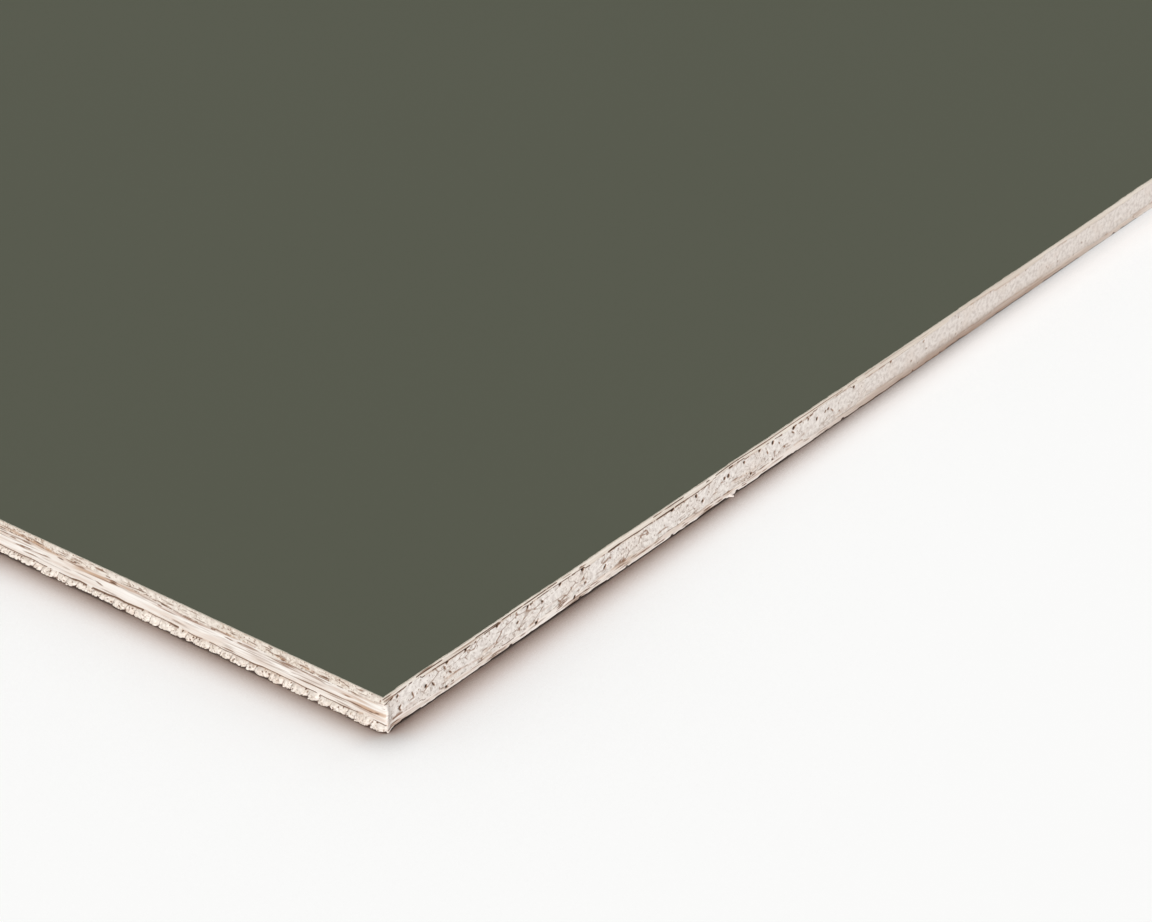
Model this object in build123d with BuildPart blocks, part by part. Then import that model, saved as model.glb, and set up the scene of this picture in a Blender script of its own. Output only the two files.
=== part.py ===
"""Three-ply plywood sheet with a coloured film on its face, lying flat with the film up.

Millimetres, +Z up. The origin is the centre of the underside. +X runs along the long side, which is the grain of
the two outer veneers. The grain of the core runs across it, along Y.
"""

import itertools
import math
import os

from build123d import *

# The sheet, as it is sawn
sheet_length = 600.0
sheet_width = 300.0

# The layers, from the underside up
back_veneer_thickness = 0.8
core_veneer_thickness = 2.3
face_veneer_thickness = 0.8
film_thickness = 0.1

# Fibre bundles of the back veneer, torn round where the saw leaves the sheet across the grain
bundle_pitch = 1.6
bundle_spread_share = 0.35
bundle_crown_share = 0.17
golden_angle = math.pi * (3 - math.sqrt(5))

# Levels at which the layers meet
core_level = back_veneer_thickness
face_level = core_level + core_veneer_thickness
film_level = face_level + face_veneer_thickness

# The bundles fill the width and differ in size; the widest one still reaches the sawn end
bundle_count = max(round(sheet_width / bundle_pitch), 1)
bundle_weights = [1 + bundle_spread_share * math.sin(golden_angle * i) for i in range(bundle_count)]
bundle_widths = [sheet_width * weight / sum(bundle_weights) for weight in bundle_weights]
bundle_sides = list(itertools.accumulate(bundle_widths, initial=-sheet_width / 2))
half_length = sheet_length / 2
bundle_root = half_length - bundle_crown_share * max(bundle_widths)

os.makedirs("parts", exist_ok=True)

# Back veneer: each torn bundle is one arc of the outline, and neighbours meet in a cusp
with BuildPart() as back_veneer:
    with BuildSketch(Plane.XY):
        with BuildLine():
            Line((-bundle_root, bundle_sides[0]), (bundle_root, bundle_sides[0]))
            for start, end in itertools.pairwise(bundle_sides):
                SagittaArc((bundle_root, start), (bundle_root, end), -bundle_crown_share * (end - start))
            Line((bundle_root, bundle_sides[-1]), (-bundle_root, bundle_sides[-1]))
            for end, start in itertools.pairwise(reversed(bundle_sides)):
                SagittaArc((-bundle_root, end), (-bundle_root, start), -bundle_crown_share * (end - start))
        make_face()
    extrude(amount=back_veneer_thickness)
back_veneer.part.label = "back_veneer"
export_step(back_veneer.part, "parts/back_veneer.step")

# Core veneer: one thick sheet between the two glue lines
with BuildPart() as core_veneer:
    with BuildSketch(Plane.XY.offset(core_level)):
        Rectangle(sheet_length, sheet_width)
    extrude(amount=core_veneer_thickness)
core_veneer.part.label = "core_veneer"
export_step(core_veneer.part, "parts/core_veneer.step")

# Face veneer: the sheet that carries the film
with BuildPart() as face_veneer:
    with BuildSketch(Plane.XY.offset(face_level)):
        Rectangle(sheet_length, sheet_width)
    extrude(amount=face_veneer_thickness)
face_veneer.part.label = "face_veneer"
export_step(face_veneer.part, "parts/face_veneer.step")

# Face film: the coloured skin, sawn flush with the veneers
with BuildPart() as face_film:
    with BuildSketch(Plane.XY.offset(film_level)):
        Rectangle(sheet_length, sheet_width)
    extrude(amount=film_thickness)
face_film.part.label = "face_film"
export_step(face_film.part, "parts/face_film.step")

for piece in (back_veneer, core_veneer, face_veneer, face_film):
    size = piece.part.bounding_box().size
    print(f"{piece.part.label}: {size.X:.2f} x {size.Y:.2f} x {size.Z:.2f} mm")
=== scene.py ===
# %% [markdown]
# # A film-faced plywood sheet, close up at one corner
#
# This lesson dresses a thin three-ply sheet. Its solids come from a CAD frame that already has the right
# size, so nothing here moves or resizes them. What Blender adds is the finish: a matt film, sawn edges
# where every layer is cut along or across its grain, glue lines, pits, stains and torn fibre.

# %% Load the frame
import itertools
import math
from collections import namedtuple
from functools import partialmethod

import bpy
import numpy as np
from mathutils import Matrix, Vector


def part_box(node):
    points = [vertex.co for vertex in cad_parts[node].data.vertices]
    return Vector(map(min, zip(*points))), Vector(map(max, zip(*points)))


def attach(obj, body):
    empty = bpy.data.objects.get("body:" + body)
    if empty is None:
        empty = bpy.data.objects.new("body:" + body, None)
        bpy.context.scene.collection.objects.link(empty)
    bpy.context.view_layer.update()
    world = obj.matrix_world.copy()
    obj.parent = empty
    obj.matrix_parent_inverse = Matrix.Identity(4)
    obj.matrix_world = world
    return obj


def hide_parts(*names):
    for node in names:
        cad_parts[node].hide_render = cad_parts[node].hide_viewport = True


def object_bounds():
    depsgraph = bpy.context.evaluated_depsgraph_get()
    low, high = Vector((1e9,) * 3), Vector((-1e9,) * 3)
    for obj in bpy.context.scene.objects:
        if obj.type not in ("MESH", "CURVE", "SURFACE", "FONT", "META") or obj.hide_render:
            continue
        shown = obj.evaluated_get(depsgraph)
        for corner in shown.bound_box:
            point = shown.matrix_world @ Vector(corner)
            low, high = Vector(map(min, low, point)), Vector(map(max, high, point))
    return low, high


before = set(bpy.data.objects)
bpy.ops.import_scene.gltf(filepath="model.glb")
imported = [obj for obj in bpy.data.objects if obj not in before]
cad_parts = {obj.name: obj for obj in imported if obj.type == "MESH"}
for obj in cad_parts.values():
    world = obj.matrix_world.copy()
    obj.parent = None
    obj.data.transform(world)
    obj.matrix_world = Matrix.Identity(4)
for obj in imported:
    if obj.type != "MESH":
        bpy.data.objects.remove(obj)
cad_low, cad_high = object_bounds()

MM = 0.001
scene = bpy.context.scene
sheet_thickness = cad_high.z - cad_low.z
half_length = cad_high.x / MM
half_width = cad_high.y / MM
layers = {node: [corner.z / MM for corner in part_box(node)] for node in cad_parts}
for node, (low, high) in sorted(layers.items(), key=lambda layer: layer[1]):
    print(f"{node}: from {low:.2f} to {high:.2f} mm")

# %% [markdown]
# ## The camera
#
# A camera can be guessed by eye or worked out. Here the two rims and the two feet of the sheet were
# measured in the picture, and a lens with no tilt to the side was fitted to them. The fit gives the lens,
# the heading and dip of the view, and where the near corner of the film falls in the frame. The distance is
# counted in sheet thicknesses, so it follows the sheet.

# %% Camera from the near corner
PICTURE_WIDTH, PICTURE_HEIGHT = 1152, 922
LENS_IN_PIXELS = 3859
CORNER_PIXEL = 382.96, 697.42
CAMERA_HEADING = math.radians(51.53)
CAMERA_DIP = math.radians(30.84)
DISTANCE_IN_THICKNESSES = 89.68
SENSOR_WIDTH = 36


def direction(heading, rise):
    """The way to a point on the sky: heading turns from +Y towards +X, rise is above the floor."""
    flat = math.cos(rise)
    return Vector((math.sin(heading) * flat, math.cos(heading) * flat, math.sin(rise)))


forward = direction(CAMERA_HEADING, -CAMERA_DIP)
rightward = direction(CAMERA_HEADING + math.pi / 2, 0)
upward = rightward.cross(forward)
aside = (CORNER_PIXEL[0] - PICTURE_WIDTH / 2) / LENS_IN_PIXELS
below = (CORNER_PIXEL[1] - PICTURE_HEIGHT / 2) / LENS_IN_PIXELS
to_corner = (forward + rightward * aside - upward * below) * DISTANCE_IN_THICKNESSES * sheet_thickness
near_corner = Vector((cad_low.x, cad_low.y, cad_high.z))

lens = bpy.data.cameras.new("corner_camera")
lens.sensor_width = SENSOR_WIDTH
lens.lens = SENSOR_WIDTH * LENS_IN_PIXELS / PICTURE_WIDTH
lens.clip_start = sheet_thickness
camera = bpy.data.objects.new("corner_camera", lens)
turn = Matrix((rightward, upward, -forward)).transposed().to_4x4()
camera.matrix_world = Matrix.Translation(near_corner - to_corner) @ turn
scene.collection.objects.link(camera)
scene.camera = camera
print(f"lens {lens.lens:.1f} mm, {to_corner.length / MM:.0f} mm from the corner")

# %% [markdown]
# ## Shader sums
#
# A material is a web of small sums. Wired by hand they take pages of code, so one small class wraps a
# socket and lets Python's own operators add the nodes: `1 - mask` makes a Math node. Colours and vectors go
# through Mix and Vector Math, because a Math node would turn them grey.

# %% A socket that can be added and multiplied


class Signal:
    """One socket of a node tree. A sum on it adds the node that works the sum out."""

    def __init__(self, socket):
        self.socket = socket

    def node(self, kind, settings=None, sockets=None, output=0):
        """Any node: its type, its settings, which are set first, then values or links for its sockets."""
        tree = self.socket.id_data
        made = tree.nodes.new(kind)
        for name, value in (settings or {}).items():
            if name == "stops":
                lay_stops(made.color_ramp.elements, value)
            else:
                setattr(made, name, value)
        for name, value in (sockets or {}).items():
            target = made.inputs[name]
            if isinstance(value, Signal):
                tree.links.new(value.socket, target)
            else:
                target.default_value = fitted(value, target.type)
        return Signal(made.outputs[output])

    def work_out(self, operation, other, reflected=False):
        """The node for a sum: Mix for colours, Vector Math for vectors, and Math for numbers."""
        first, second = (other, self) if reflected else (self, other)
        kinds = {part.socket.type for part in (first, second) if isinstance(part, Signal)}
        if "RGBA" in kinds:
            mixing = {"data_type": "RGBA", "blend_type": operation}
            return self.node("ShaderNodeMix", mixing, {0: 1, 6: first, 7: second}, 2)
        kind = "ShaderNodeVectorMath" if "VECTOR" in kinds else "ShaderNodeMath"
        return self.node(kind, {"operation": operation}, {0: first, 1: second})

    __add__ = partialmethod(work_out, "ADD")
    __radd__ = partialmethod(work_out, "ADD", reflected=True)
    __sub__ = partialmethod(work_out, "SUBTRACT")
    __rsub__ = partialmethod(work_out, "SUBTRACT", reflected=True)
    __mul__ = partialmethod(work_out, "MULTIPLY")
    __rmul__ = partialmethod(work_out, "MULTIPLY", reflected=True)
    __truediv__ = partialmethod(work_out, "DIVIDE")

    def __abs__(self):
        return self.node("ShaderNodeMath", {"operation": "ABSOLUTE"}, {0: self})

    def steps_up(self, low, high):
        """0 below low, 1 above high, and a soft step between."""
        sockets = {"Value": self, "From Min": low, "From Max": high}
        return self.node("ShaderNodeMapRange", {"interpolation_type": "SMOOTHSTEP"}, sockets)

    def between(self, first, second):
        """A colour that goes from the first to the second as this value goes from 0 to 1."""
        return self.node("ShaderNodeMix", {"data_type": "RGBA"}, {0: self, 6: first, 7: second}, 2)

    def noise(self, grain, detail=2.0, twist=0.0):
        """Noise at this place, with patches of the given length along X, Y and Z."""
        per_grain = self * tuple(1 / length for length in grain)
        sockets = {"Vector": per_grain, "Scale": 1.0, "Detail": detail, "Distortion": twist}
        return self.node("ShaderNodeTexNoise", None, sockets)

    def painted(self, name):
        """A number that the mesh carries at each point."""
        return self.node("ShaderNodeAttribute", {"attribute_name": name}, None, "Fac")


print("shader sums ready")

# %% Helpers for sockets and finishes


def fitted(value, kind):
    """A plain number as the socket wants it: spread over a vector, or as a grey."""
    if kind == "VECTOR" and not hasattr(value, "__len__"):
        return (value,) * 3
    if kind == "RGBA":
        return (*value, 1) if hasattr(value, "__len__") else (value, value, value, 1)
    return value


def lay_stops(elements, stops):
    """Put the stops of a colour ramp in place of the two that a new ramp has."""
    for number, (place, colour) in enumerate(stops):
        stop = elements[number] if number < 1 else elements.new(place)
        stop.position = place
        stop.color = (*colour, 1)
    elements.remove(elements[-1])


def new_finish(name, roughness, gloss):
    """A material with a plain shader; returns it, its shader and the place on the sheet in millimetres."""
    material = bpy.data.materials.new(name)
    material.use_nodes = True
    shader = material.node_tree.nodes["Principled BSDF"]
    shader.inputs["Roughness"].default_value = roughness
    shader.inputs["Specular IOR Level"].default_value = gloss
    start = Signal(material.node_tree.nodes.new("ShaderNodeTexCoord").outputs["Object"])
    return material, shader, start * (1 / MM)


def plug(signal, shader, name):
    """Feed a worked-out signal to a socket of the shader."""
    signal.socket.id_data.links.new(signal.socket, shader.inputs[name])


print("helpers for finishes ready")

# %% [markdown]
# ## The floor
#
# The sheet lies on white paper. Paper close to the edge gets little light, and what it gets has bounced off
# warm wood, so the contact shadow is brown, and darkest right under the foot. This shadow is painted: ambient
# occlusion measures how much of the sky a point of the paper misses, and a colour ramp turns that into a
# tint, the painted shadow. Only camera rays see the tint. Other rays meet a plain grey, so the foot of an
# edge, which faces the shaded paper, gets hardly less light than its rim.
#
# In the picture the shadow of the front edge is deepest by the near corner and thins out along the edge. So
# the tint is deepened near the corner, and further along the paper gets a faint glow that fills the shadow
# up, its outer part first.

# %% White paper with a warm contact shadow
FLOOR_REACH = 20
OCCLUSION_REACH, OCCLUSION_RAYS = 12 * sheet_thickness, {"samples": 8}
PAPER_WHITE = 0.958, 0.958, 0.950
PAPER_BOUNCE = 0.55, 0.545, 0.54
SHADOW_STOPS = (
    (0.36, (0.205, 0.154, 0.135)),
    (0.49, (0.275, 0.210, 0.182)),
    (0.54, (0.425, 0.325, 0.285)),
    (0.64, (0.580, 0.487, 0.450)),
    (0.73, (0.695, 0.635, 0.605)),
    (0.82, (0.760, 0.740, 0.730)),
    (0.91, (0.855, 0.850, 0.842)),
    (0.975, PAPER_WHITE),
)
DEEP_SPAN, DEEPENED, DEEP_KEEPS_OPEN = (10, 55), 0.05, (0.8, 1.0)
THIN_SPAN, THIN_ENDS, THINNED = (34, 124), (170, 260), 0.93
THIN_LAG, HALF_SHADE = 190, 0.655
SHADE_SPAN, SHADE_FILL = (0.5, 0.97), (0.69, 0.75, 0.77)
FRONT_BLEND = 3

floor_mesh = bpy.data.meshes.new("floor")
floor_corners = [(x * FLOOR_REACH, y * FLOOR_REACH, 0) for x, y in ((-1, -1), (1, -1), (1, 1), (-1, 1))]
floor_mesh.from_pydata(floor_corners, [], [(0, 1, 2, 3)])
floor = bpy.data.objects.new("floor", floor_mesh)
scene.collection.objects.link(floor)
paper, paper_shader, on_paper = new_finish("floor_paper", roughness=1.0, gloss=0.0)
open_sky = on_paper.node("ShaderNodeAmbientOcclusion", OCCLUSION_RAYS, {"Distance": OCCLUSION_REACH}, "AO")
along = on_paper.node("ShaderNodeSeparateXYZ", None, {"Vector": on_paper}, "X") + half_length
inside = on_paper.node("ShaderNodeSeparateXYZ", None, {"Vector": on_paper}, "Y") + half_width
in_front = 1 - inside.steps_up(0, FRONT_BLEND)
deep = in_front * (1 - along.steps_up(*DEEP_SPAN)) * (1 - open_sky.steps_up(*DEEP_KEEPS_OPEN))
lagging = along + (open_sky - HALF_SHADE) * THIN_LAG
thin = in_front * lagging.steps_up(*THIN_SPAN) * (1 - along.steps_up(*THIN_ENDS))
# The painted contact shadow: a colour ramp over the occlusion, deepened near the corner.
tint = on_paper.node("ShaderNodeValToRGB", {"stops": SHADOW_STOPS}, {"Fac": open_sky - deep * DEEPENED})
seen = on_paper.node("ShaderNodeLightPath", output="Is Camera Ray")
plug(seen.between(PAPER_BOUNCE, tint), paper_shader, "Base Color")
# A painted glow on the paper fills the shadow up along the front edge, its outer part first.
filled = seen * thin * (1 - open_sky.steps_up(*SHADE_SPAN)) * THINNED
plug(filled.between((0, 0, 0), SHADE_FILL), paper_shader, "Emission Color")
paper_shader.inputs["Emission Strength"].default_value = 1
floor_mesh.materials.append(paper)
print("floor", 2 * FLOOR_REACH, "m wide")

# %% [markdown]
# ## The light
#
# One broad lamp hangs high behind the sheet, which is why the shadow falls towards the camera, and a low
# lamp in front opens the edges. Suns with a wide disc act like softboxes that light every part of the sheet
# alike. The levels of the lamps on a level face add up to one, so a colour renders about as it is written.

# %% Lamps and surroundings
SURROUND_LIGHT = Vector((0.13, 0.125, 0.12))
FRONT_LIGHT = Vector((0.94, 0.925, 0.91))
FRONT_HEADING, FRONT_RISE, FRONT_WIDTH = math.radians(-132), math.radians(12), math.radians(14)
TOP_HEADING, TOP_RISE, TOP_WIDTH = math.radians(43), math.radians(61), math.radians(50)


def soft_sun(name, level, heading, rise, width):
    """A lamp far away with a wide disc; its level is that on a face turned towards it."""
    lamp = bpy.data.lights.new(name, "SUN")
    lamp.angle = width
    lamp.energy = math.pi
    lamp.color = level
    holder = bpy.data.objects.new(name, lamp)
    holder.rotation_mode = "QUATERNION"
    holder.rotation_quaternion = direction(heading, rise).to_track_quat("Z", "Y")
    scene.collection.objects.link(holder)


top_light = (Vector((1, 1, 1)) - SURROUND_LIGHT - FRONT_LIGHT * math.sin(FRONT_RISE)) / math.sin(TOP_RISE)
soft_sun("top_softbox", top_light, TOP_HEADING, TOP_RISE, TOP_WIDTH)
soft_sun("front_softbox", FRONT_LIGHT, FRONT_HEADING, FRONT_RISE, FRONT_WIDTH)

world = bpy.data.worlds.new("white_studio")
world.use_nodes = True
surround = world.node_tree.nodes["Background"]
direct = Signal(world.node_tree.nodes.new("ShaderNodeLightPath").outputs["Is Camera Ray"])
glossy = direct.node("ShaderNodeLightPath", output="Is Glossy Ray")
through = direct.node("ShaderNodeLightPath", output="Is Transmission Ray")
shown = (direct + glossy + through).steps_up(0, 1)
plug(shown.between(tuple(SURROUND_LIGHT), (1, 1, 1)), surround, "Color")
scene.world = world
scene.view_settings.view_transform = "Standard"
print("top light", [round(level, 3) for level in top_light])

# %% [markdown]
# ## Noise for shapes
#
# Shader noise only colours a surface. To press real pits and tears into the edges, the mesh itself needs
# noise, as arrays. Clouds give every whole-number cell a scrambled number and blend the numbers smoothly.
# Cells scatter one point in each whole-number cell and tell how near a place is to the line between two
# points, which draws lobes and pebbles. Both start from a seed, a number that picks one pattern out of
# many, and give the same result on every run.

# %% Repeatable noise on arrays
CELL_PRIMES = 73856093, 19349663, 83492791
SCRAMBLE = 2654435761
WORD = 0xFFFFFFFF
MIX_SHIFTS, LAST_SHIFT = (15, 13), 16


def soft_step(value, low, high):
    """0 below low, 1 above high, and a soft step between."""
    part = np.clip((value - low) / (high - low), 0, 1)
    return part * part * (3 - 2 * part)


def scrambled(keys):
    """A number from 0 to 1 for each whole number, with no pattern that the eye can see."""
    for shift in MIX_SHIFTS:
        keys = (keys ^ (keys >> shift)) * SCRAMBLE & WORD
    return ((keys ^ (keys >> LAST_SHIFT)) & WORD) / WORD


def cell_keys(seed, places):
    """One whole number for each cell, from its whole-number place on every axis."""
    keys = np.int64(seed * SCRAMBLE & WORD)
    for place, prime in zip(places, CELL_PRIMES):
        keys = keys ^ (place * prime & WORD)
    return keys


def cloud(seed, *axes):
    """Smooth noise from -1 to 1. Each axis is a place divided by the length of a patch."""
    homes = [np.floor(axis).astype(np.int64) for axis in axes]
    blends = [soft_step(axis - home, 0, 1) for axis, home in zip(axes, homes)]
    total = 0.0
    for corner in itertools.product((0, 1), repeat=len(axes)):
        weight = math.prod(blend if step else 1 - blend for step, blend in zip(corner, blends))
        places = [home + step for home, step in zip(homes, corner)]
        total = total + weight * scrambled(cell_keys(seed, places))
    return 2 * total - 1


def cells(seed, *axes):
    """Uneven cells: 0 at the middle of a cell, 1 on the line where it meets the next."""
    homes = [np.floor(axis).astype(np.int64) for axis in axes]
    squares = []
    for steps in itertools.product((-1, 0, 1), repeat=len(axes)):
        near = [home + step for home, step in zip(homes, steps)]
        keys = cell_keys(seed, near)
        middles = [place + scrambled(keys + number) for number, place in enumerate(near)]
        squares.append(sum((axis - middle) ** 2 for axis, middle in zip(axes, middles)))
    nearest, second = np.partition(np.array(squares), 1, axis=0)[:2]
    return np.sqrt(nearest / second)


sample = np.linspace(0, 50, 1000)
print(f"clouds average {cloud(1, sample).mean():.2f}, cells {cells(1, sample).mean():.2f}")

# %% [markdown]
# ## A walk round the sheet
#
# The edges are 4 mm high and nearly two metres long, and the camera sees a tenth of that close up. So each
# layer is a wall of narrow columns: fine ones along the close-up stretch, wider ones on the far sides. The
# walk starts at the near corner and runs along the front edge first. Front and rear were ripped along the
# outer grain, and the two ends were cross-cut. The picture goes soft where the front edge runs away from the
# camera: marks fade and the foot is a brown haze. Nothing is blurred here, so the marks are fainter there and
# the foot gets a painted brown shade, the blurred contact shadow.

# %% Columns for the walls
CLOSE_FRONT, CLOSE_LEFT = 142.0, 54.0
CLOSE_STEP, COARSE_STEP = 0.08, 5.0
CUTS_BLEND = 0.5
CALM_SPAN, CALM_ENDS, CALMED = (46, 98), (160, 240), 0.8


def columns_along(stretches):
    """Offsets of the columns along one side, and its length; a stretch is a length and a step."""
    offsets, begun = [], 0.0
    for length, step in stretches:
        count = math.ceil(length / step)
        offsets.append(begun + np.arange(count) * (length / count))
        begun += length
    return np.concatenate(offsets), begun


class Walk:
    """Columns round the sheet, in millimetres: how far along, where, which way is out, and which cut."""

    def __init__(self, far_rip_step, far_end_step):
        front = (CLOSE_FRONT, CLOSE_STEP), (2 * half_length - CLOSE_FRONT, far_rip_step)
        left = (2 * half_width - CLOSE_LEFT, far_end_step), (CLOSE_LEFT, CLOSE_STEP)
        sides = (
            ((-1, -1), (1, 0), front),
            ((1, -1), (0, 1), [(2 * half_width, far_end_step)]),
            ((1, 1), (-1, 0), [(2 * half_length, far_rip_step)]),
            ((-1, 1), (0, -1), left),
        )
        tables, begun = [], 0.0
        for side, (corner, heading, stretches) in enumerate(sides):
            offset, side_length = columns_along(stretches)
            place = np.array(corner) * (half_length, half_width) + offset[:, None] * np.array(heading)
            out = np.tile((heading[1], -heading[0]), (len(offset), 1))
            gap = np.minimum(offset, side_length - offset)
            number = np.full(len(offset), side)
            tables.append(np.column_stack((begun + offset, place, out, gap, number, offset / side_length)))
            begun += side_length
        self.run, x, y, out_x, out_y, self.corner_gap, side, self.share = np.concatenate(tables).T
        self.place, self.out = np.column_stack((x, y)), np.column_stack((out_x, out_y))
        self.side = side.astype(int)
        self.length = begun
        self.crosscut = np.abs(out_x) > 0.5
        self.end_share = 0.5 + np.where(self.crosscut, 0.5, -0.5) * soft_step(self.corner_gap, 0, CUTS_BLEND)
        self.close = (self.run < CLOSE_FRONT) | (self.run > begun - CLOSE_LEFT)
        self.starts = np.flatnonzero(self.share == 0)
        self.out[self.starts] += self.out[self.starts - 1]
        self.crisp = self.crispness(self.run)

    def crispness(self, run, span=CALM_SPAN, calmed=CALMED):
        """How strong marks are: 1, and less where the front edge runs away from the camera."""
        return 1 - calmed * soft_step(run, *span) * (1 - soft_step(run, *CALM_ENDS))


coarse = Walk(COARSE_STEP, COARSE_STEP)
print(f"{coarse.length:.0f} mm round the sheet, {len(coarse.run)} columns in a coarse walk")

# %% [markdown]
# ## Glue lines
#
# Veneers are never quite even, so on a sawn edge the glue lines wander, and they jump where a veneer was
# patched. Both layers that meet at a line must agree on it, so a line is one function of the walk that both
# of them call. It goes back to its true level at each corner.

# %% Where the layers meet
CORNER_FADE = 2.5
SLOW_WAVE, QUICK_WAVE, JUMP_WAVE = 6.0, 1.3, 9.0
JUMP_EDGE = 0.12, 0.18
Wander = namedtuple("Wander", "seed shift slow quick jump")
LOWER_ON_END, LOWER_ON_RIP = Wander(11, 0.24, 0.17, 0.08, 0), Wander(11, -0.16, 0.10, 0.05, 0.20)
UPPER_ON_END, UPPER_ON_RIP = Wander(17, -0.16, 0.30, 0.07, 0), Wander(17, 0.10, 0.07, 0.03, 0.22)


def wandering(walk, wander):
    """How far a glue line lies above its true level: a shift, slow and quick waves, and jumps."""
    slow = wander.slow * cloud(wander.seed, walk.run / SLOW_WAVE)
    quick = wander.quick * cloud(wander.seed + 1, walk.run / QUICK_WAVE)
    jumps = wander.jump * soft_step(cloud(wander.seed + 2, walk.run / JUMP_WAVE), *JUMP_EDGE)
    return wander.shift + slow + quick + jumps


def glue_line(walk, level, on_end, on_rip):
    """Height of a glue line at each column."""
    off_level = np.where(walk.crosscut, wandering(walk, on_end), wandering(walk, on_rip))
    return level + off_level * soft_step(walk.corner_gap, 0, CORNER_FADE)


def lower_line(walk):
    """Where the back veneer meets the core."""
    return glue_line(walk, layers["core_veneer"][0], LOWER_ON_END, LOWER_ON_RIP)


def upper_line(walk):
    """Where the core meets the face veneer."""
    return glue_line(walk, layers["core_veneer"][1], UPPER_ON_END, UPPER_ON_RIP)


sways = [np.ptp(line(coarse)) for line in (lower_line, upper_line)]
print("the glue lines wander over", [round(sway, 2) for sway in sways], "mm")

# %% [markdown]
# ## Marks on a wall
#
# A wall keeps four maps on its grid: relief, which is the gentle ups and downs of the sawn grain, hollows,
# which are deep and also get a painted shade that grows with their depth, dark lines and brown stains, which
# only colour. Some dark lines are painted shade too, along the foot and between torn bundles. Noise fills the
# maps in bulk, and single pits, splits and stains are pressed in one by one, as a punch would. Coarse columns
# can't hold a pit, so pits stay in the close-up stretch.

# %% Walls and the tools that mark them
Marks = namedtuple("Marks", "half_lengths half_heights strengths leans")
# The foot's painted shade: where along the front it comes and goes, how dark it is, and how high it reaches.
FOOT_SHADE_SPAN, FOOT_SHADE_ENDS, FOOT_SHADE, FOOT_SHADE_REACH = (50, 95), (100, 165), 0.42, 1.3


class Wall:
    """The sawn wall of one layer: columns from a walk, and rows at shares of the way up."""

    def __init__(self, walk, low, high, shares):
        self.walk = walk
        self.low, self.high = low[:, None], high[:, None]
        self.share = np.array(shares)[None, :]
        self.height = self.low + (self.high - self.low) * self.share
        self.run = walk.run[:, None]
        self.on_end = walk.crosscut[:, None]
        self.close = walk.close[:, None]
        self.relief, self.hollow, self.dark, self.stain = np.zeros((4, *self.height.shape))

    def waves(self, seed, *octaves):
        """Noise over the wall: each octave is the length and height of its patches and its depth."""
        total = 0.0
        for number, (length, tall, depth) in enumerate(octaves):
            total = total + depth * cloud(seed + number, self.run / length, self.height / tall)
        return total

    def press(self, target, run, height, reach, lean, strength):
        """One rounded mark on a map; reach is its half length and half height, lean its slope."""
        span = 2 * max(reach)
        first, last = np.searchsorted(self.walk.run, (run - span, run + span))
        aside, above = self.run[first:last] - run, self.height[first:last] - height
        along = (aside * math.cos(lean) + above * math.sin(lean)) / reach[0]
        across = (above * math.cos(lean) - aside * math.sin(lean)) / reach[1]
        mark = strength * np.exp(-(along ** 2 + across ** 2) ** 2)
        target[first:last] = np.maximum(target[first:last], mark)

    def place(self, target, marks, strength):
        """Marks placed on the left end: distance from the near corner, height, reach and lean of each."""
        for distance, height, reach, lean in marks:
            self.press(target, self.walk.length - distance, height, reach, lean, strength)

    def scatter(self, target, seed, on_end, per_mm, kind, band=(0.0, 1.0)):
        """Many marks of one kind, at random, along the close-up of the left end or of the front."""
        dice = np.random.default_rng(seed)
        begin, end = (self.walk.length - CLOSE_LEFT, self.walk.length) if on_end else (0.0, CLOSE_FRONT)
        count = round((end - begin) * per_mm)
        for _ in range(count):
            run, share = dice.uniform(begin, end), dice.uniform(*band)
            reach_along, reach_up, strength, lean = (dice.uniform(*limits) for limits in kind)
            strength *= self.walk.crispness(run)
            column = min(np.searchsorted(self.walk.run, run), len(self.run) - 1)
            height = self.low[column, 0] * (1 - share) + self.high[column, 0] * share
            self.press(target, run, height, (reach_along, reach_up), lean, strength)
        return count

    def scatter_all(self, rows):
        """Marks of several kinds; a row is the name of a map and what scatter asks for after it."""
        return sum(self.scatter(getattr(self, name), *row) for name, *row in rows)

    def draw(self, target, line, strength, half_height):
        """A thin line along the wall; strength and half height are one number or one for each column."""
        strength, half_height = (np.reshape(value, (-1, 1)) for value in (strength, half_height))
        mark = strength * np.exp(-((self.height - line[:, None]) / half_height) ** 2)
        np.maximum(target, mark, out=target)

    def shade_foot(self):
        """Paint a brown shade on the foot, a blurred contact shadow, where the front edge runs away from the
        camera.
        """
        run = self.walk.run
        strength = FOOT_SHADE * soft_step(run, *FOOT_SHADE_SPAN) * (1 - soft_step(run, *FOOT_SHADE_ENDS))
        self.draw(self.dark, np.zeros_like(run), strength, FOOT_SHADE_REACH)


print("marks: press, place, scatter and draw, on four maps")

# %% [markdown]
# ## Seams
#
# Where the saw opened a glue line it left a broken dark line, in dashes of uneven length and thickness, and
# the glue that soaked in beside it shows as a brown stain. Cross-cut ends and ripped sides differ, so a
# seam has both.

# %% Broken glue lines
Broken = namedtuple("Broken", "dash cover strength")
Seam = namedtuple("Seam", "seed on_rip on_end stain_reach")
LOWER_SEAM = Seam(41, Broken(0.9, 0.40, 0.65), Broken(1.6, 0.74, 0.78), 0.14)
UPPER_SEAM = Seam(61, Broken(0.8, 0.62, 1.00), Broken(0.6, 0.30, 0.68), 0.12)
SOAKED_GLUE = Broken(2.5, 0.4, 0.6)
RIP_SEED, SOAK_SEED, SWELL_SEED = 3, 7, 381
DASH_OCTAVES = (1, 1), (0.3, 0.5), (7, 0.8)
COVER_GAIN, DASH_BLEND = 1.8, 0.1
SEAM_THIN, SEAM_THICK, SEAM_DEPTH = 0.05, 0.12, 0.05
SWELL_WAVE, SWELL_SPAN = 2.2, (0, 0.8)


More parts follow.
